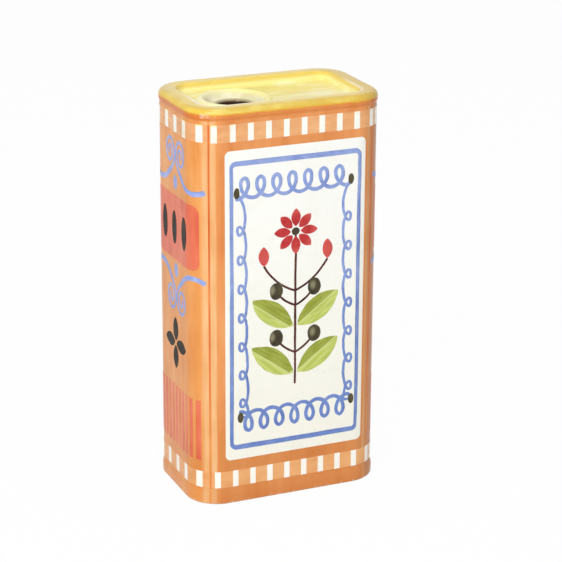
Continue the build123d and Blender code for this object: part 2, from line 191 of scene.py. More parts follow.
def glazed(finish, color, roughness=0.24, coat=0.12, waves=0.45, index=1.25):
    """Give a finish its colour under the glassy coat."""
    slow = finish.noise(wave_length, (1, 1, 5), 1.0)
    fine = finish.noise(skin_grain, even, 2.0)
    inputs = {"Strength": waves, "Distance": wave_depth, "Height": slow + fine * skin_share}
    bump = finish.add("Bump", None, inputs)
    patches = finish.noise(patch_size, even, 2.0, 3.7)
    shader = finish.add("BsdfPrincipled", None, {
        "Base Color": color,
        "Roughness": patches * rough_change + (roughness - rough_change / 2),
        "IOR": index,
        "Coat Weight": coat,
        "Coat Roughness": 0.08,
        "Normal": bump,
    })
    finish.add("OutputMaterial", None, {"Surface": shader})
    return finish.owner


def streaky(finish, colors, stroke=even, size=7 * mm):
    """A paint laid on with a brush: streaks along the stroke, thick and thin places."""
    thick_tint, plain_tint, thin_tint = colors
    streaks = finish.noise(size, stroke, 4.0, 1.3)
    clouds = finish.noise(cloud_size, even, 2.0, 8.1)
    thin = finish.fade(streaks * 0.6 + clouds * 0.4, 0.48, 0.7)
    thick = finish.fade(streaks * 0.5 + clouds * 0.5, 0.52, 0.34)
    return finish.mix(thick, finish.mix(thin, plain_tint, thin_tint), thick_tint)


def brushed(name, colors, stroke=even, size=7 * mm, **coat):
    """A new finish of one streaky paint."""
    finish = new_finish(name)
    return glazed(finish, streaky(finish, colors, stroke, size), **coat)


print("waves of the glaze:", round(wave_depth / mm, 1), "mm deep at most")

# %% [markdown]
# ## Where on the wall?
# The painter worked round the corners, so a finish has to know the run along the wall, not just X
# and Y. A UV map could tell it, but every painted part would need its own. The outline is only
# straight walls and round corners, so the run can be worked out from the place of a point: past the
# flat part of a side wall it goes on along the arc of the corner.

# %% Run along the wall, and distance from its outline
flat_x = 40 * mm
flat_y = 18 * mm
corner = 19 * mm
tiny = 0.001 * mm


def beyond_flats(finish):
    """How far a point lies past the flat parts, along X and along Y."""
    across = finish.axis("X").math("ABSOLUTE") - flat_x
    along = finish.axis("Y").math("ABSOLUTE") - flat_y
    return across.math("MAXIMUM", 0.0), along.math("MAXIMUM", 0.0)


def corner_run(finish):
    """Run from the middle of a side wall, in metres; it stays the same on the long walls."""
    across, along = beyond_flats(finish)
    return along.math("ARCTAN2", across + tiny) * corner + flat_y


def long_side(finish):
    """0 on the side walls, 1 on the long ones, and a soft step on the corners."""
    return finish.fade(corner_run(finish), 34 * mm, 44 * mm)


def outward(finish):
    """Distance from the outline of the wall, negative inside it."""
    across, along = beyond_flats(finish)
    return (across * across + along * along).math("SQRT") - corner


print("run round one corner:", round(corner * math.pi / 2 / mm, 1), "mm")

# %% [markdown]
# ## Orange walls
# The orange is laid with broad upright strokes. It is warmer on the side walls, deeper on the long
# ones, and thins to peach on the corners, where the brush left off. The far front corner is darkened
# with painted shade. A picture wrapped round the walls could show this, but it would blur close up,
# so the finish works out the colour of a point from its place.

# %% Orange and peach
upright = (1, 1, 6)
warm_orange = paint((220, 139, 68), (230, 152, 80), (238, 168, 98))
deep_orange = paint((214, 130, 68), (225, 146, 84), (233, 160, 100))
peach = paint((228, 168, 108), (234, 181, 124), (241, 198, 146))
far_corner_shade_tint = tint(186, 108, 56)
first_column = (30.5, 34.5, 35.9, 36.6)
second_column = (36.8, 38.0, 40.4, 41.3)
column_sway = 1.6 * mm


def wall_color(finish):
    """Orange all round, with two soft peach columns on each corner."""
    run = corner_run(finish)
    warm = streaky(finish, warm_orange, upright, 8 * mm)
    deep = streaky(finish, deep_orange, upright, 8 * mm)
    color = finish.mix(finish.fade(run, 40.2 * mm, 42.6 * mm), warm, deep)
    sway = finish.noise(6 * mm, (1, 1, 8), 2.0, 5.5) * column_sway - column_sway / 2
    columns = finish.window(run + sway, *first_column) + finish.window(run + sway, *second_column)
    color = finish.mix(columns * 0.85, color, streaky(finish, peach, (1, 1, 9), 3 * mm))
    # Painted shade: the far front corner is darkened, away from the light on the left.
    far_end_shade = finish.fade(finish.axis("X"), 43 * mm, 52 * mm)
    front = finish.fade(finish.axis("Y"), -16 * mm, -30 * mm)
    return finish.mix(far_end_shade * front * 0.7, color, far_corner_shade_tint)


wall_finish = new_finish("orange wall glaze")
orange = wall_color(wall_finish)
column_finish = new_finish("pale corner glaze")
column_glaze = glazed(column_finish, wall_color(column_finish))
print("corner nodes:", len(column_finish.tree.nodes))

# %% [markdown]
# ## Under the rim, and at the foot
# Below the rim, most of all on the side walls, and in the crease, the orange is darkened with painted
# shade. Above the crease the yellow of the rim runs a little way down. At the near corner below the
# rim a painted glint is laid as a pale patch with white specks like chips. The lower walls are darker
# with painted shade, and the foot is a little worn. These could be pieces of their own, but they have
# no sharp borders, so each is mixed over the last.

# %% Shoulder, crease, chips and foot
glint_white = tint(255, 242, 228)


def under_rim(finish, color, long_wall):
    height = finish.axis("Z")
    # Painted shade below the rim, strongest on the side walls.
    shoulder_shade = finish.fade(height, 232.6 * mm, 233.6 * mm) * (0.85 - long_wall * 0.45)
    color = finish.mix(shoulder_shade, color, tint(214, 118, 40))
    # Painted shade in the crease.
    crease = finish.window(height, 233.7, 234.2, 234.7, 235.2)
    color = finish.mix(crease * 0.22, color, tint(196, 104, 44))
    drip = finish.noise(7 * mm, (1, 1, 3), 3.0, 2.2) * (1.5 * mm)
    return finish.mix(finish.fade(height + drip, 237.0 * mm, 237.5 * mm), color, tint(226, 176, 62))


# A painted glint on the near corner below the rim: a pale patch with white specks like chips.
def painted_glint_corner(finish, color):
    place = finish.fade(finish.axis("X"), -49.5 * mm, -52 * mm)
    place = place * finish.fade(finish.axis("Y"), -30 * mm, -32 * mm)
    place = place * finish.fade(finish.axis("Z"), 234.4 * mm, 236.0 * mm)
    color = finish.mix(place * 0.3, color, tint(250, 214, 184))
    # The white specks of the painted glint.
    glint_specks = finish.fade(finish.noise(2.2 * mm, (1, 1, 0.6), 2.0, 7.7), 0.49, 0.6)
    return finish.mix(place * glint_specks * 0.75, color, glint_white)


def foot_shade_and_wear(finish, color, long_wall):
    height = finish.axis("Z")
    # Painted shade: the lower walls darken towards the foot, more on the long walls.
    shade = finish.fade(height, 74 * mm, 22 * mm) * (long_wall * 0.3 + 0.14)
    color = finish.mix(shade, color, tint(200, 120, 54))
    worn = finish.fade(height, 2.4 * mm, 0.8 * mm)
    specks = finish.fade(finish.noise(1.6 * mm, even, 2.0, 9.0), 0.6, 0.66)
    return finish.mix(worn * specks * 0.7, color, tint(238, 222, 196))


long_wall = long_side(wall_finish)
orange = under_rim(wall_finish, orange, long_wall)
orange = painted_glint_corner(wall_finish, orange)
orange = foot_shade_and_wear(wall_finish, orange, long_wall)
orange_glaze = glazed(wall_finish, orange)
print("wall nodes:", len(wall_finish.tree.nodes))

# %% [markdown]
# ## Bands, lines and bars
# Each band is a peach ground with white bars, thin lines run down the corners, and the panels of the
# side walls are coral. The first three paints change between foot and rim, as the painter mixed them
# again. One colour for all would look printed, so each is two paints that fade into one another with
# the height. Yellow from the rim touches the tops of the highest bars, most of all at the near end.

# %% Bands and lines
low_band = paint((225, 158, 98), (233, 170, 110), (239, 181, 124))
high_band = paint((224, 156, 102), (232, 170, 116), (240, 184, 132))
low_line = paint((222, 132, 62), (228, 142, 72), (236, 156, 90))
high_line = paint((206, 92, 40), (218, 110, 54), (230, 134, 78))


def changing(finish, low_paint, high_paint, low_z, high_z, stroke, size):
    """One paint near the foot that fades into another higher up."""
    climb = finish.fade(finish.axis("Z"), low_z, high_z)
    low_color = streaky(finish, low_paint, stroke, size)
    return finish.mix(climb, low_color, streaky(finish, high_paint, stroke, size))


band_finish = new_finish("peach band glaze")
ground = changing(band_finish, low_band, high_band, 20 * mm, 200 * mm, (3, 3, 1), 4 * mm)
band_glaze = glazed(band_finish, ground)
line_finish = new_finish("corner line glaze")
line_color = changing(line_finish, low_line, high_line, 20 * mm, 110 * mm, upright, 4 * mm)
line_glaze = glazed(line_finish, line_color)
print("band nodes:", len(band_finish.tree.nodes))

# %% White bars and coral panels
low_white = paint((246, 242, 226), (250, 249, 240), (252, 252, 246))
high_white = paint((240, 232, 208), (246, 246, 236), (250, 250, 244))
coral = paint((214, 95, 66), (227, 113, 80), (234, 132, 98))

bar_finish = new_finish("white bar glaze")
bar_color = changing(bar_finish, low_white, high_white, 30 * mm, 60 * mm, (1, 1, 2), 5 * mm)
runs_down = bar_finish.axis("Z") + bar_finish.noise(5 * mm) * (1.2 * mm)
bar_top = bar_finish.fade(runs_down, 230.2 * mm, 231.4 * mm)
near_end = bar_finish.fade(bar_finish.axis("X"), -34 * mm, -44 * mm)
bar_color = bar_finish.mix(bar_top * (near_end * 0.6 + 0.2), bar_color, tint(250, 226, 130))
bar_white = glazed(bar_finish, bar_color)
coral_glaze = brushed("coral panel glaze", coral, (1, 1, 4), 7 * mm)
print("bar nodes:", len(bar_finish.tree.nodes))

# %% [markdown]
# ## The white of the label
# The label is a white glaze, cool at its head and creamy at its foot, with faint clouds and a few
# specks from the kiln. A plain white would do from far off, but close up it looks like plastic, so
# the clouds and the specks are mixed in, very faintly.

# %% Label white
label_finish = new_finish("label white glaze")
toward_head = label_finish.fade(label_finish.axis("Z"), 50 * mm, 190 * mm)
label_color = label_finish.mix(toward_head, tint(244, 243, 231), tint(246, 246, 240))
clouds = label_finish.fade(label_finish.noise(18 * mm, even, 3.0), 0.5, 0.75)
label_color = label_finish.mix(clouds * 0.5, label_color, tint(239, 238, 226))
specks = label_finish.fade(label_finish.noise(1.3 * mm, even, 1.0, 4.0), 0.74, 0.78)
label_color = label_finish.mix(specks * 0.35, label_color, tint(206, 200, 186))
label_white = glazed(label_finish, label_color)
print("label nodes:", len(label_finish.tree.nodes))

# %% [markdown]
# ## Painted lines and dots
# The blue line is a loaded brush, so it is darker where the stroke is slow, and the paint was mixed
# paler for the head of the label. On the side walls it lies thin over orange. One flat colour would
# do for lines this thin, but streaks make them look brushed. The drops of the side walls are so dark
# that a coat would turn them grey, so they get none.

# %% Blue lines, stems and dots
low_blue = paint((96, 122, 188), (111, 137, 199), (134, 156, 212))
high_blue = paint((122, 142, 202), (142, 161, 214), (162, 178, 222))
thin_blue = paint((126, 144, 206), (142, 162, 222), (166, 182, 230))
stem_brown = paint((60, 28, 26), (84, 40, 36), (112, 62, 52))
dot_brown = paint((58, 52, 36), (78, 72, 48), (104, 98, 70))
drop_black = paint((30, 25, 18), (44, 37, 27), (66, 57, 44))

blue_finish = new_finish("blue line glaze")
blue_color = changing(blue_finish, low_blue, high_blue, 40 * mm, 200 * mm, even, 7 * mm)
blue_line = glazed(blue_finish, blue_color)
pale_blue = brushed("thin blue glaze", thin_blue, size=4 * mm)
stem_glaze = brushed("dark stem glaze", stem_brown, size=4 * mm)
dot_glaze = brushed("dark dot glaze", dot_brown, size=4 * mm)
drop_glaze = brushed("dark drop glaze", drop_black, size=5 * mm, coat=0, index=1.12)
print("blue line nodes:", len(blue_finish.tree.nodes))

# %% [markdown]
# ## Leaves
# Each leaf was painted in two greens that meet at its middle rib, with streaks along the leaf. Each
# could get a finish of its own, but the leaves come in equal pairs. So one pattern, turned to their
# lean and wrapped at the distance between two pairs, serves them all.

# %% Leaf glaze
stem_x = 1.8 * mm
pair_pitch = 29 * mm
first_leaf_z = 77 * mm
leaf_lean = math.radians(36)
streaks_along = 60
streaks_across = 420


def posy_axes(finish):
    """Distance from the stem, and height, of a point on the label."""
    out_from_stem = (finish.axis("X").math("ABSOLUTE") - stem_x).math("ABSOLUTE")
    return out_from_stem, finish.axis("Z")


def wrapped(value, center, pitch):
    """Distance from the nearest of many centers, which repeat at this pitch."""
    return (value - center).math("WRAP", pitch / 2, -pitch / 2)


leaf_finish = new_finish("leaf glaze")
out_from_stem, up = posy_axes(leaf_finish)
across_leaf = up * math.cos(leaf_lean) - out_from_stem * math.sin(leaf_lean)
across_leaf = wrapped(across_leaf, first_leaf_z * math.cos(leaf_lean), pair_pitch * math.cos(leaf_lean))
along_leaf = up * math.sin(leaf_lean) + out_from_stem * math.cos(leaf_lean)
inputs = {0: along_leaf * streaks_along, 1: across_leaf * streaks_across}
grain = leaf_finish.add("CombineXYZ", None, inputs)
grain = leaf_finish.add("TexNoise", None, {"Vector": grain, "Scale": 1.0, "Detail": 3.0})
grain = leaf_finish.fade(grain, 0.4, 0.64)
upper = leaf_finish.mix(grain, tint(144, 154, 54), tint(164, 174, 76))
lower = leaf_finish.mix(grain, tint(182, 195, 94), tint(202, 212, 120))
leaf_color = leaf_finish.mix(leaf_finish.fade(across_leaf, 0.7 * mm, -0.7 * mm), upper, lower)
rib = leaf_finish.fade(across_leaf.math("ABSOLUTE"), 0.75 * mm, 0.25 * mm)
leaf_color = leaf_finish.mix(rib * 0.55, leaf_color, tint(220, 226, 156))
leaf_glaze = glazed(leaf_finish, leaf_color)
print("leaf nodes:", len(leaf_finish.tree.nodes))

# %% [markdown]
# ## Berries and petals
# Each berry got a soft lighter touch on one side, in the same place on every berry. The petals are
# deep red at the heart of the flower and pale towards their tips. A paler piece laid on top would
# have a hard edge, so both are worked out as a distance: from the spot on the nearest berry, and
# from the heart of the flower.

# %% Berry and petal glazes
first_berry_z = 101 * mm
berry_touch_x = 11 * mm
berry_narrow = 1.5
flower_z = 164 * mm
berry_brown = paint((52, 46, 32), (68, 62, 42), (86, 80, 56))
petal_red = paint((164, 38, 42), (188, 50, 52), (206, 74, 70))

berry_finish = new_finish("dark berry glaze")
out_from_stem, up = posy_axes(berry_finish)
beside = (out_from_stem - berry_touch_x) * berry_narrow
above_middle = wrapped(up, first_berry_z, pair_pitch)
spot = (beside * beside + above_middle * above_middle).math("SQRT")
berry_color = streaky(berry_finish, berry_brown, (1, 1, 2), 4 * mm)
touch = berry_finish.fade(spot, 4.2 * mm, 0.6 * mm)
berry_color = berry_finish.mix(touch * 0.75, berry_color, tint(150, 144, 112))
berry_glaze = glazed(berry_finish, berry_color)

petal_finish = new_finish("red petal glaze")
out_from_stem, up = posy_axes(petal_finish)
above_heart = up - flower_z
reach = (out_from_stem * out_from_stem + above_heart * above_heart).math("SQRT")
petal_color = streaky(petal_finish, petal_red, even, 4 * mm)
tips = petal_finish.fade(reach, 8 * mm, 13 * mm)
petal_color = petal_finish.mix(tips * 0.5, petal_color, tint(222, 104, 94))
petal_glaze = glazed(petal_finish, petal_color)
print("berry nodes:", len(berry_finish.tree.nodes), "petal nodes:", len(petal_finish.tree.nodes))

# %% [markdown]
# ## Yellow on the rim
# Yellow glaze runs while it melts. It is golden on the round face of the rim and stronger on the
# face at the left, and painted shade darkens it at the right end and at the far left. Along the sharp
# inner edge the glaze has run thin, and a painted highlight makes it almost white, most of all at the
# near end. The rim could be cut into one piece for each colour, but a glaze has no seams, so all of
# it is one finish, worked out from the distance to the outline of the wall.

# %% Yellow of the rim and its inner edge
def rim_color(finish, out_of_wall, cloud, flow):
    gold = finish.mix(finish.fade(cloud, 0.36, 0.66), tint(220, 186, 80), tint(234, 210, 110))
    face = finish.fade(out_of_wall + flow * 0.6, -6.5 * mm, -1.0 * mm)
    color = finish.mix(face, tint(238, 210, 104), gold)
    # Painted shade at the right end of the rim, away from the light.
    right_end_shade = finish.fade(finish.axis("X"), 36 * mm, 54 * mm)
    color = finish.mix(right_end_shade * 0.5, color, tint(204, 168, 66))
    # Painted shade on the outer rounding of the rim at the far left.
    far_left_shade = finish.fade(finish.axis("X"), -44 * mm, -56 * mm)
    far_left_shade = far_left_shade * finish.fade(finish.axis("Y"), 0.0, 25 * mm)
    color = finish.mix(far_left_shade * 0.5, color, tint(206, 186, 132))
    left_face = finish.fade(out_of_wall, -1.6 * mm, -0.2 * mm)
    left_face = left_face * finish.fade(finish.axis("X"), -46 * mm, -56 * mm)
    return finish.mix(left_face * 0.5, color, tint(238, 198, 58))


def recess_slope_and_highlight(finish, color, out_of_wall, flow):
    slope = finish.fade(out_of_wall + flow * 0.5, -9.2 * mm, -10.0 * mm)
    climb = finish.fade(finish.axis("Z"), 236.0 * mm, 239.0 * mm)
    color = finish.mix(slope, color, finish.mix(climb, tint(250, 243, 168), tint(232, 204, 96)))
    # A painted highlight along the inner edge, where the glaze is also thin; strongest near and on the
    # left.
    edge = finish.window(out_of_wall, -7.4, -8.2, -9.4, -9.9)
    highlight_near_side = finish.fade(finish.axis("Y"), 14 * mm, -12 * mm)
    highlight_left_end = finish.fade(finish.axis("X"), -8 * mm, -36 * mm)
    return finish.mix(edge * highlight_near_side * (highlight_left_end * 0.45 + 0.45), color, tint(254, 250, 232))


yellow_finish = new_finish("yellow top glaze")
out_of_wall = outward(yellow_finish)
cloud = yellow_finish.noise(15 * mm, (1, 1, 0.6), 2.0, 6.0)
flow = cloud * (3.2 * mm) - 1.6 * mm
yellow = rim_color(yellow_finish, out_of_wall, cloud, flow)
yellow = recess_slope_and_highlight(yellow_finish, yellow, out_of_wall, flow)
print("nodes for the rim:", len(yellow_finish.tree.nodes))

# %% [markdown]
# ## Yellow in the recess
# The floor of the recess is pale, with pools of stronger yellow, brush streaks along the vessel whose
# pale ones are also painted highlights, and a greyer end by the collar. It could have its own finish,
# but the glaze runs down into it without a border, so the floor is mixed into the yellow of the rim.

# %% Yellow of the recess floor
def recess_floor(finish, color, out_of_wall, cloud, flow):
    floor_part = finish.fade(finish.axis("Z") + flow * 0.5, 237.4 * mm, 235.3 * mm)
    floor_part = floor_part * finish.fade(out_of_wall, -9.9 * mm, -10.8 * mm)
    color = finish.mix(floor_part, color, tint(247, 234, 146))
    pool = finish.fade(cloud, 0.52, 0.7) * floor_part
    color = finish.mix(pool * 0.5, color, tint(250, 236, 136))
    pale_end = finish.fade(finish.axis("X"), -26 * mm, -42 * mm) * floor_part
    color = finish.mix(pale_end * 0.75, color, tint(236, 228, 166))
    brush = finish.noise(6 * mm, (4, 1, 1), 3.0, 4.4)
    # The pale streaks are brush streaks and also painted highlights.
    pale_streaks_and_highlights = finish.fade(brush, 0.5, 0.66) * floor_part
    color = finish.mix(pale_streaks_and_highlights * 0.6, color, tint(254, 249, 210))
    deep_streaks = finish.fade(brush, 0.46, 0.32) * floor_part
    return finish.mix(deep_streaks * 0.45, color, tint(232, 208, 100))


yellow = recess_floor(yellow_finish, yellow, out_of_wall, cloud, flow)
print("nodes for rim and recess:", len(yellow_finish.tree.nodes))

# %% [markdown]
# ## Yellow on the collar
# The collar is round, and its glaze ran outwards and inwards from the crest. So everything here
# depends on the distance from the throat's axis: a bright ring on the crest, whiter on the left with
# a painted highlight, a greyer dish inside it with painted shade on the left, a lip darkened with
# painted shade, and deep painted shade down the throat. That shade could be left to the lamps, but
# the pale studio would light the throat too well.

# %% Yellow of the collar
throat_x = -21 * mm


def collar_color(finish, color, cloud, flow):
    beside = finish.axis("X") - throat_x
    along = finish.axis("Y")
    radius = (beside * beside + along * along).math("SQRT")
    # Painted highlight: the crest ring is whiter on the left.
    highlight_fades_rightward = finish.fade(beside, -14 * mm, 14 * mm)
    ring_color = finish.mix(highlight_fades_rightward, tint(246, 240, 196), tint(252, 240, 150))
    ring_part = finish.fade(radius + flow * 0.5, 23.5 * mm, 20.0 * mm)
    color = finish.mix(ring_part * 0.8, color, ring_color)
    dish_color = finish.fade(cloud, 0.4, 0.62)
    dish_color = finish.mix(dish_color, tint(228, 219, 170), tint(244, 238, 200))
    # Painted shade on the left of the dish.
    shaded = finish.fade(beside, -6 * mm, -16 * mm)
    dish_color = finish.mix(shaded * 0.7, dish_color, tint(184, 172, 122))
    color = finish.mix(finish.fade(radius, 18.6 * mm, 15.5 * mm), color, dish_color)
    # Painted shade on the lip, where it turns down into the throat.
    lip_shade = finish.fade(radius, 12.4 * mm, 10.6 * mm)
    color = finish.mix(lip_shade * 0.7, color, tint(150, 128, 86))
    throat = finish.fade(finish.axis("Z"), 232.6 * mm, 231.0 * mm)
    return finish.mix(throat, color, tint(72, 54, 38))


yellow = collar_color(yellow_finish, yellow, cloud, flow)
yellow_glaze = glazed(yellow_finish, yellow, roughness=0.2, coat=0.15, waves=0.6)
print("nodes for the whole top:", len(yellow_finish.tree.nodes))

# %% [markdown]
# ## Clay and liner
# Bare clay shows only at the foot. It is matt and grainy. The inside has a clear glaze, which looks
# like darker clay. A plain colour would do for what is seen so little, but the helpers give both
# their grain and streaks in a few lines.

# %% Bare clay and clear liner
clay_finish = new_finish("bare clay")
grain = clay_finish.noise(1.2 * mm, even, 5.0)
clay_color = clay_finish.mix(grain, tint(214, 198, 172), tint(236, 226, 208))
bare_clay = glazed(clay_finish, clay_color, roughness=0.8, coat=0.0)
liner_tan = paint((150, 130, 104), (176, 158, 130), (196, 180, 152))
liner_glaze = brushed("clear liner glaze", liner_tan)
print("materials so far:", len(bpy.data.materials))

# %% [markdown]
# ## Drawing a section
# Walls and rim have one section that runs all round. It could be drawn with sharp corners and then
# bevelled, but each corner has its own roundness. So it is drawn in millimetres, as the distance out
# from the flat wall and the height, with an arc of its own radius at each corner.

# %% Sections with rounded corners
def arc(center, radius, start, end, steps=8):
    """Points along an arc, from one angle to another, in degrees."""
    angles = [math.radians(start + (end - start) * step / steps) for step in range(steps + 1)]
    return [(center[0] + radius * math.cos(a), center[1] + radius * math.sin(a)) for a in angles]


def rounded(points, radii, steps=6):
    """A chain of points, with an arc of its radius at each corner."""
    chain = [points[0]]
    for before, here, after, radius in zip(points, points[1:], points[2:], radii):
        here, before, after = Vector(here), Vector(before), Vector(after)
        into = (before - here).normalized()
        out = (after - here).normalized()
        half = into.angle(out) / 2
        reach = radius / math.tan(half)
        center = here + (into + out).normalized() * radius / math.sin(half)
        first = here + into * reach - center
        last = here + out * reach - center
        sweep = first.angle_signed(last)
        for step in range(steps + 1):
            turn = Matrix.Rotation(-sweep * step / steps, 2)
            chain.append(tuple(center + turn @ first))
    chain.append(points[-1])
    return chain


print("a quarter arc:", [tuple(round(c, 2) for c in point) for point in arc((0, 0), 1, 0, 90, 2)])

# %% [markdown]
# ## Spinning a section round the vessel
# A box with bevelled edges would do for plain walls, but not for walls with a bead and a rolled rim.
# So the section starts as a single point that is pulled out into a chain. The chain is pulled along
# a flat wall, spun round a corner, and so on until it meets itself. A potter's template works like
# that too, and it gives corners that are truly round.

# %% From a chain of points to a ring
def fresh(name):
    """A single point in edit mode, ready to be pulled out."""
    bpy.ops.object.select_all(action="DESELECT")
    bpy.ops.mesh.primitive_plane_add(size=mm, location=(0, 0, 0))
    piece = bpy.context.object
    piece.name = piece.data.name = name
    bpy.ops.object.mode_set(mode="EDIT")
    bpy.ops.mesh.select_mode(type="VERT")
    bpy.ops.mesh.merge(type="CENTER")
    return piece


def pull_chain(points):
    """Move the point to the first place, then pull it out from place to place."""
    bpy.ops.transform.translate(value=points[0])
    for here, there in zip(points, points[1:]):
        step = tuple(b - a for a, b in zip(here, there))
        bpy.ops.mesh.extrude_vertices_move(TRANSFORM_OT_translate={"value": step})
    bpy.ops.mesh.select_all(action="SELECT")


def close_shell():
    """Join what meets, and turn all faces outwards."""
    bpy.ops.mesh.select_all(action="SELECT")
    bpy.ops.mesh.remove_doubles(threshold=tiny)
    bpy.ops.mesh.normals_make_consistent(inside=False)
    bpy.ops.object.mode_set(mode="OBJECT")


def ring_round(name, section, steps=20):
    """Carry a section once round the vessel."""
    piece = fresh(name)
    pull_chain([(flat_x + corner + out * mm, -flat_y, high * mm) for out, high in section])
    corners = [(flat_x, flat_y), (-flat_x, flat_y), (-flat_x, -flat_y), (flat_x, -flat_y)]
    pulls = [(0, 2 * flat_y), (-2 * flat_x, 0), (0, -2 * flat_y), (2 * flat_x, 0)]
    for pull, middle in zip(pulls, corners):
        bpy.ops.mesh.extrude_region_move(TRANSFORM_OT_translate={"value": (*pull, 0)})
        bpy.ops.mesh.spin(steps=steps, angle=-math.pi / 2, center=(*middle, 0), axis=(0, 0, 1))
    close_shell()
    return piece


# %% [markdown]
# ## From a surface to a finished piece
# A glaze is a skin with a real thickness. Its inner side could be drawn as well, but a Solidify
# modifier makes it from the outer one, evenly. Soft edges are then shaded smooth, and the piece
# takes the place of the measured part.

# %% Thicken, smooth and settle
glaze_depth = 0.3 * mm


def thicken(piece):
    """Give a surface the depth of the glaze, inwards."""
    skin = piece.modifiers.new("skin", "SOLIDIFY")
    skin.thickness = glaze_depth
    skin.offset = -1
    bpy.ops.object.modifier_apply(modifier=skin.name)


def smooth(piece, degrees=35):
    bpy.ops.object.select_all(action="DESELECT")
    piece.select_set(True)
    bpy.context.view_layer.objects.active = piece
    bpy.ops.object.shade_smooth_by_angle(angle=math.radians(degrees))


def settle(piece, material, slot, *stands_for):
    """Give a piece its finish, and put it in the place of the measured parts."""
    piece.data.materials.clear()
    piece.data.materials.append(material)
    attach(piece, "root")
    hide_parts(*stands_for)


# %% [markdown]
# ## The glazed walls
# The wall stands on a bare foot, swells into a soft bead, runs straight up to a crease and goes on
# into the round face of the rim, up to where the yellow glaze takes over. The measured skin could
# stay, but facets show in a gloss, so a finely divided one is modelled in its place.

# %% Orange skin of the walls, drawn in millimetres
bead_out = 0.8
bead_top = 6.0
bead_round = 1.5
wall_start = 10.0
wall_start_round = 4.0
foot_round = 1.5
bare_angle = -36.9
crease_high = 233.6
roll_low = 234.6
crease_round = 1.0
rim_out = 0.5
rim_round = 3.4
rim_top = 240.0
roll_middle = (rim_out - rim_round, rim_top - rim_round)
yellow_angle = 13.6

wall_points = [
    (bead_out, foot_round),
    (bead_out, bead_top),
    (0.0, wall_start),
    (0.0, crease_high),
    (rim_out, roll_low),
    (rim_out, rim_top - rim_round),
]
wall_rounds = [bead_round, wall_start_round, crease_round, crease_round]
wall_section = arc((bead_out - foot_round, foot_round), foot_round, bare_angle, 0)
wall_section += rounded(wall_points, wall_rounds)[1:]
wall_section += arc(roll_middle, rim_round, 0, yellow_angle)[1:]
walls = ring_round("wall_skin", wall_section)
thicken(walls)
smooth(walls)
settle(walls, orange_glaze, "orange_glaze", "wall_glaze")
print("wall skin:", len(walls.data.polygons), "faces")

# %% [markdown]
# ## The rim and the recess
# The yellow skin goes on where the orange one ends. It rolls over the rim, turns down a short slope
# and ends on the floor of the recess. Walls and rim could be one skin with two finishes, but they
# are two glazes that meet in a line, so they are two pieces that share this edge.

# %% Yellow ring of the rim
rim_width = 9.3
slope_run = 2.6
floor_start = 0.8
inner_edge_round = 0.9
floor_round = 1.2
recess = 235.0

slope_end = rim_width + slope_run
rim_points = [
    (roll_middle[0], rim_top),
    (-rim_width, rim_top),
    (-slope_end, recess),
    (-slope_end - floor_start, recess),
]
rim_section = arc(roll_middle, rim_round, yellow_angle, 90)
rim_section += rounded(rim_points, [inner_edge_round, floor_round])[1:]
top_skin = ring_round("top_skin", rim_section)
print("rim ring:", len(top_skin.data.polygons), "faces")

# %% [markdown]
# ## The collar
# The collar is a low ring with a dished mouth, so it is spun round the axis of its throat. Its
# section could be a few points with bevels, but a gloss shows every kink. So it is a chain of arcs
# that start on the crest: outwards down a skirt to the floor, and inwards through the dish and over
# a lip into the throat. Each arc goes on from the last one in the same direction.

# %% Section of the collar, drawn in millimetres and degrees
throat_radius = 10.0
throat_foot = 226.0
crest_radius = 19.5
collar_height = 1.7
crest_inner_round = 2.0
crest_outer_round = 2.83
lip_round = 2.0
dish_steep = 42
dish_flat = 12
skirt_steep = 60
skirt_flat = 14


def bend(points, heading, radius, turn, steps=8):
    """Go on from the last point along an arc; the turn is in degrees, positive to the left."""
    side = math.copysign(1, turn)
    x, z = points[-1]
    center = (x - side * radius * math.sin(heading), z + side * radius * math.cos(heading))
    for step in range(1, steps + 1):
        angle = heading + math.radians(turn) * step / steps
        along = side * radius * math.sin(angle)
        above = side * radius * math.cos(angle)
        points.append((center[0] + along, center[1] - above))
    return heading + math.radians(turn)


def sine(degrees):
    return math.sin(math.radians(degrees))


def cosine(degrees):
    return math.cos(math.radians(degrees))


dish_run = crest_radius - throat_radius
dish_run -= crest_inner_round * sine(dish_steep) + lip_round * (1 - sine(dish_flat))
dish_radius = dish_run / (sine(dish_steep) - sine(dish_flat))
skirt_drop = collar_height - crest_outer_round * (1 - cosine(skirt_steep))
skirt_radius = skirt_drop / (cosine(skirt_flat) - cosine(skirt_steep))

crest = (crest_radius, recess + collar_height)
inward = [crest]
heading = bend(inward, math.pi, crest_inner_round, dish_steep)
heading = bend(inward, heading, dish_radius, dish_flat - dish_steep)
bend(inward, heading, lip_round, 90 - dish_flat)
inward.append((throat_radius, throat_foot))
skirt = [crest]
heading = bend(skirt, 0, crest_outer_round, -skirt_steep)
bend(skirt, heading, skirt_radius, skirt_steep - skirt_flat)
collar_section = skirt[::-1] + inward[1:]
print("collar foot:", [round(c, 2) for c in skirt[-1]], "throat:", [round(c, 2) for c in inward[-2]])

# %% Spin the collar
collar = fresh("collar_skin")
pull_chain([(throat_x + out * mm, 0, high * mm) for out, high in collar_section])
bpy.ops.mesh.spin(steps=96, angle=2 * math.pi, center=(throat_x, 0, 0), axis=(0, 0, 1))
close_shell()
print("collar:", len(collar.data.polygons), "faces")

# %% [markdown]
# ## One skin for the whole top
# On the vessel one coat of yellow covers rim, floor and collar. A plate laid between the two rings
# would leave seams, so the ring of the rim and the collar are joined, and the flat floor between
# them is filled. The two open edges at floor height are found by their place.

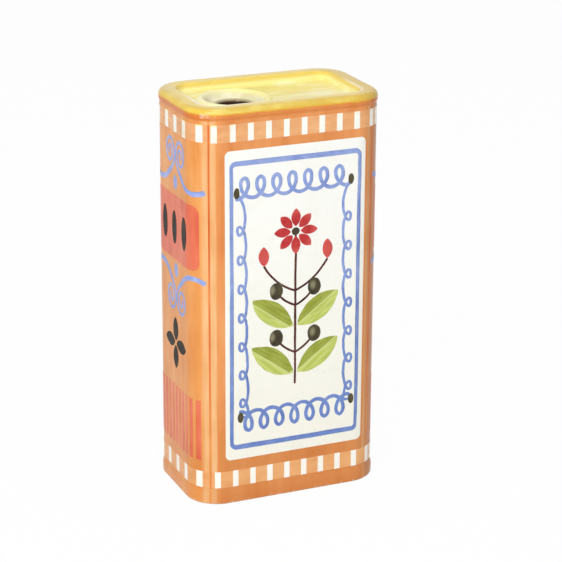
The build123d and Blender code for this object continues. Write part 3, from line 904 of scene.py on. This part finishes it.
# %% Fill the floor between rim and collar
bpy.ops.object.select_all(action="DESELECT")
collar.select_set(True)
top_skin.select_set(True)
bpy.context.view_layer.objects.active = top_skin
bpy.ops.object.join()
bpy.ops.object.mode_set(mode="EDIT")
bpy.ops.mesh.select_mode(type="EDGE")
bpy.ops.mesh.select_all(action="DESELECT")
bpy.ops.mesh.select_non_manifold(
    extend=False, use_wire=False, use_multi_face=False,
    use_non_contiguous=False, use_verts=False,
)
bpy.ops.object.mode_set(mode="OBJECT")
for edge in top_skin.data.edges:
    ends = [top_skin.data.vertices[index].co for index in edge.vertices]
    edge.select = edge.select and all(abs(end.z - recess * mm) < 0.01 * mm for end in ends)
print("edges round the floor:", sum(edge.select for edge in top_skin.data.edges))
bpy.ops.object.mode_set(mode="EDIT")
bpy.ops.mesh.fill(use_beauty=True)
close_shell()
highest = max(top_skin.data.polygons, key=lambda face: face.center.z)
if highest.normal.z < 0:
    top_skin.data.flip_normals()
thicken(top_skin)
smooth(top_skin, 50)
settle(top_skin, yellow_glaze, "yellow_glaze", "top_glaze")
print("top skin:", len(top_skin.data.polygons), "faces")

# %% [markdown]
# ## Colours laid on by hand
# The measured colours have ruled edges. On the real vessel each edge wanders by a few tenths of a
# millimetre, and each stroke swells and thins. Moving the points by hand would take long, and would
# not repeat. So a copy of each line and motif is merged, its long edges are divided, and Displace
# modifiers shift it along the wall, never off it, by fine and by broad clouds.

# %% Let a colour wander
fine_clouds = 5 * mm
broad_clouds = 24 * mm


def tidy_copy(node, name):
    """A copy of a measured part, with its loose triangles merged."""
    piece = bpy.data.objects.new(name, nodes[node].data.copy())
    bpy.context.scene.collection.objects.link(piece)
    bpy.ops.object.select_all(action="DESELECT")
    piece.select_set(True)
    bpy.context.view_layer.objects.active = piece
    bpy.ops.object.mode_set(mode="EDIT")
    bpy.ops.mesh.select_all(action="SELECT")
    bpy.ops.mesh.remove_doubles(threshold=tiny)
    bpy.ops.object.mode_set(mode="OBJECT")
    return piece


def divide_long_edges(piece, longest, most_rounds=8):
    """Cut edges in two until none is longer than asked."""
    bpy.ops.object.mode_set(mode="EDIT")
    bpy.ops.mesh.select_mode(type="EDGE")
    for _ in range(most_rounds):
        bpy.ops.mesh.select_all(action="DESELECT")
        bpy.ops.object.mode_set(mode="OBJECT")
        long = 0
        for edge in piece.data.edges:
            a, b = [piece.data.vertices[index].co for index in edge.vertices]
            edge.select = (a - b).length > longest
            long += edge.select
        bpy.ops.object.mode_set(mode="EDIT")
        if not long:
            break
        bpy.ops.mesh.subdivide(number_cuts=1)
    bpy.ops.object.mode_set(mode="OBJECT")


def wander(piece, direction, size, strength, clouds):
    """Shift points along one direction by a cloudy pattern."""
    texture = bpy.data.textures.new(f"{piece.name} {direction} {size}", type="CLOUDS")
    texture.noise_scale = size
    texture.noise_depth = 1
    shift = piece.modifiers.new("wander", "DISPLACE")
    shift.texture = texture
    shift.texture_coords = "OBJECT"
    shift.texture_coords_object = clouds
    shift.direction = direction
    shift.mid_level = 0.5
    shift.strength = strength
    bpy.ops.object.modifier_apply(modifier=shift.name)


def by_hand(node, material, directions, amount, longest):
    """A hand-laid version of one measured colour."""
    piece = tidy_copy(node, node + "_laid")
    divide_long_edges(piece, longest)
    for direction, clouds in zip(directions, cloud_places):
        wander(piece, direction, fine_clouds, amount, clouds)
        wander(piece, direction, broad_clouds, amount, clouds)
    smooth(piece)
    settle(piece, material, nodes[node].data.materials[0].name, node)
    return len(piece.data.polygons)


# %% [markdown]
# ## Where the clouds are
# A hand slips sideways as well as up or down. Displace reads its clouds from the place of an object,
# and one object for all would make a stroke wander along X and along Z in step. So two empties that
# stand apart hold the places of the clouds.

# %% Places of the clouds
clouds_apart = (0.31, 0.17, 0.23)
cloud_places = [bpy.data.objects.new("cloud_place_" + letter, None) for letter in "ab"]
cloud_places[1].location = clouds_apart
for cloud_place in cloud_places:
    bpy.context.scene.collection.objects.link(cloud_place)
bpy.context.view_layer.update()
print("cloud places:", len(cloud_places))

# %% [markdown]
# ## What is painted on the label
# Each colour of the label is a piece of its own, as it was laid in one go. They could all wander by
# the same amount, but a thin stem would lose its form and a broad leaf would still look ruled, so
# each has its own. They lie on a flat wall, so they wander along X and Z.

# %% Lines, dots and posy
# name, finish, and in millimetres how far it wanders and how long its edges may stay
label_colors = [
    ("keyline", blue_line, 0.5, 2.5),
    ("loop_border", blue_line, 0.55, 2.2),
    ("corner_dots", dot_glaze, 0.4, 2.2),
    ("posy_stems", stem_glaze, 0.4, 2.2),
    ("posy_leaves", leaf_glaze, 0.8, 2.2),
    ("posy_berries", berry_glaze, 0.6, 2.2),
    ("posy_flowers", petal_glaze, 0.5, 2.2),
]
for side in ("front_", "back_"):
    faces = 0
    for name, material, amount, longest in label_colors:
        faces += by_hand(side + name, material, "XZ", amount * mm, longest * mm)
    print(side + "label:", faces, "faces")

# %% [markdown]
# ## The side walls
# Drops, scrolls and rosettes are painted on the side walls, and wander along Y and Z. The scrolls
# reach round the corners, where a shift along Y would lift them off the wall, so they only wander up
# and down.

# %% Drops, scrolls and rosettes
side_amount = 0.5 * mm
side_longest = 2.2 * mm
side_colors = [
    ("panel_drops", drop_glaze, "YZ"),
    ("scrolls", pale_blue, "Z"),
    ("rosette", drop_glaze, "YZ"),
]
for side in ("left_", "right_"):
    faces = 0
    for name, material, directions in side_colors:
        faces += by_hand(side + name, material, directions, side_amount, side_longest)
    print(side + "wall:", faces, "faces")

# %% [markdown]
# ## Colours that keep their measured shape
# Bands, bars, corner columns and their thin lines go round the corners, and the grounds of label and
# panels are large and plain. They could be copied and shifted too, but that would lift the first off
# the wall and would not be seen on the others. So they keep their place and only get their finish,
# as the clay does.

# %% Bands, grounds and clay
def refinish(material, *names):
    for name in names:
        for slot in nodes[name].material_slots:
            slot.material = material


refinish(band_glaze, "upper_band_ground", "lower_band_ground")
refinish(bar_white, "upper_band_bars", "lower_band_bars")
refinish(column_glaze, "corner_columns")
refinish(label_white, "front_label_ground", "back_label_ground")
refinish(coral_glaze, "left_panel", "right_panel", "left_side_bars", "right_side_bars")
refinish(line_glaze, "corner_lines")
refinish(liner_glaze, "liner_glaze")
refinish(bare_clay, "vessel_walls", "base_slab", "rolled_rim", "top_panel", "pouring_collar")
refinish(bare_clay, "base_joint_slip", "rim_joint_slip", "panel_joint_slip", "collar_joint_slip")
print("measured parts with their finishes:", len(nodes))

# %% [markdown]
# ## Floor and surroundings
# The vessel stands on a plain pale floor in a white studio. Strong lamps could make the studio
# white, but they would bleach the vessel too. So the camera and the gloss see the surroundings as
# white, while the light that reaches the object stays at a plain level.

# %% A white studio
floor_width = 6
floor_glow = 0.97
ambient_strength = 0.38
white = (1, 1, 1, 1)
paper = (0.9, 0.9, 0.9, 1)


def seen(finish):
    """1 for what the camera, a gloss or a clear part looks at, and 0 for light that falls."""
    rays = ["Is Camera Ray", "Is Glossy Ray", "Is Transmission Ray"]
    camera_ray, glossy, through = [finish.add("LightPath", out=ray) for ray in rays]
    return camera_ray.math("MAXIMUM", glossy).math("MAXIMUM", through)


floor_finish = new_finish("studio floor")
matt = floor_finish.add("BsdfDiffuse", None, {"Color": paper})
glow = floor_finish.add("Emission", None, {"Color": white, "Strength": 1.0})
inputs = {0: seen(floor_finish) * floor_glow, 1: matt, 2: glow}
floor_finish.add("OutputMaterial", None, {"Surface": floor_finish.add("MixShader", None, inputs)})

bpy.ops.object.select_all(action="DESELECT")
bpy.ops.mesh.primitive_plane_add(size=floor_width, location=(0, 0, 0))
floor = bpy.context.object
floor.name = "studio_floor"
floor.data.materials.append(floor_finish.owner)

world_finish = Finish(bpy.data.worlds.new("studio world"))
ambient = world_finish.add("Background", None, {"Color": white, "Strength": ambient_strength})
backdrop = world_finish.add("Background", None, {"Color": white, "Strength": 1.0})
inputs = {0: seen(world_finish), 1: ambient, 2: backdrop}
world_finish.add("OutputWorld", None, {"Surface": world_finish.add("MixShader", None, inputs)})
bpy.context.scene.world = world_finish.owner
print("studio floor:", floor.dimensions.x, "m wide")

# %% [markdown]
# ## Lamps
# A soft box on the left makes the main light, a larger one in front opens the shadows, one above
# lights the recess, and a small low one puts a glint on the near corner. Bare bulbs could light it
# too, but square soft boxes give the broad highlights that a glaze shows in a studio.

# %% Four soft boxes
middle = (0, 0, 0.12)
under_rim_aim = (0, 0, 0.22)


def soft_box(name, place, aim, size, power):
    """A square lamp that faces a point."""
    light = bpy.data.lights.new(name, "AREA")
    light.shape = "SQUARE"
    light.size = size
    light.energy = power
    lamp = bpy.data.objects.new(name, light)
    bpy.context.scene.collection.objects.link(lamp)
    lamp.location = place
    lamp.rotation_euler = (Vector(aim) - Vector(place)).to_track_quat("-Z", "Y").to_euler()


soft_box("key lamp", (-0.95, -0.85, 1.0), middle, size=0.5, power=9.6)
soft_box("front lamp", (-0.35, -1.5, 0.7), middle, size=0.9, power=6)
soft_box("top lamp", (0.0, 0.1, 1.45), (0, 0, rim_top * mm), size=0.8, power=4.5)
soft_box("low lamp", (-1.0, -0.75, 0.32), under_rim_aim, size=0.12, power=0.8)
print("lamps:", len(bpy.data.lights))

# %% [markdown]
# ## The camera
# It stands a metre and a quarter away, in front and to the left, and looks down by nineteen degrees.
# A shorter lens from nearer by would make the upright edges lean, and the long lens keeps them
# almost parallel.

# %% The camera
turn = math.radians(-23.49)
tilt = math.radians(19.14)
roll = math.radians(0.3065)
tall = rim_top * mm
distance = 5.235 * tall
shift_right = 0.0336 * tall
shift_up = 0.0082 * tall

view_right = Vector((math.cos(turn), math.sin(turn), 0))
view_back = Vector((
    math.sin(turn) * math.cos(tilt),
    -math.cos(turn) * math.cos(tilt),
    math.sin(tilt),
))
view_up = view_back.cross(view_right)
aim = Vector((0, 0, 0.5 * tall)) + view_right * shift_right + view_up * shift_up
view = bpy.data.cameras.new("camera")
view.lens = 135.25
view.sensor_width = 36
view.sensor_fit = "HORIZONTAL"
view.clip_start = 0.05
camera = bpy.data.objects.new("camera", view)
bpy.context.scene.collection.objects.link(camera)
camera_axes = Matrix((view_right, view_up, view_back)).transposed().to_4x4()
camera_place = Matrix.Translation(aim + view_back * distance)
camera.matrix_world = camera_place @ camera_axes @ Matrix.Rotation(roll, 4, "Z")
bpy.context.scene.camera = camera
bpy.context.scene.view_settings.view_transform = "Standard"
print("camera at:", [round(c / mm, 1) for c in camera.matrix_world.translation])
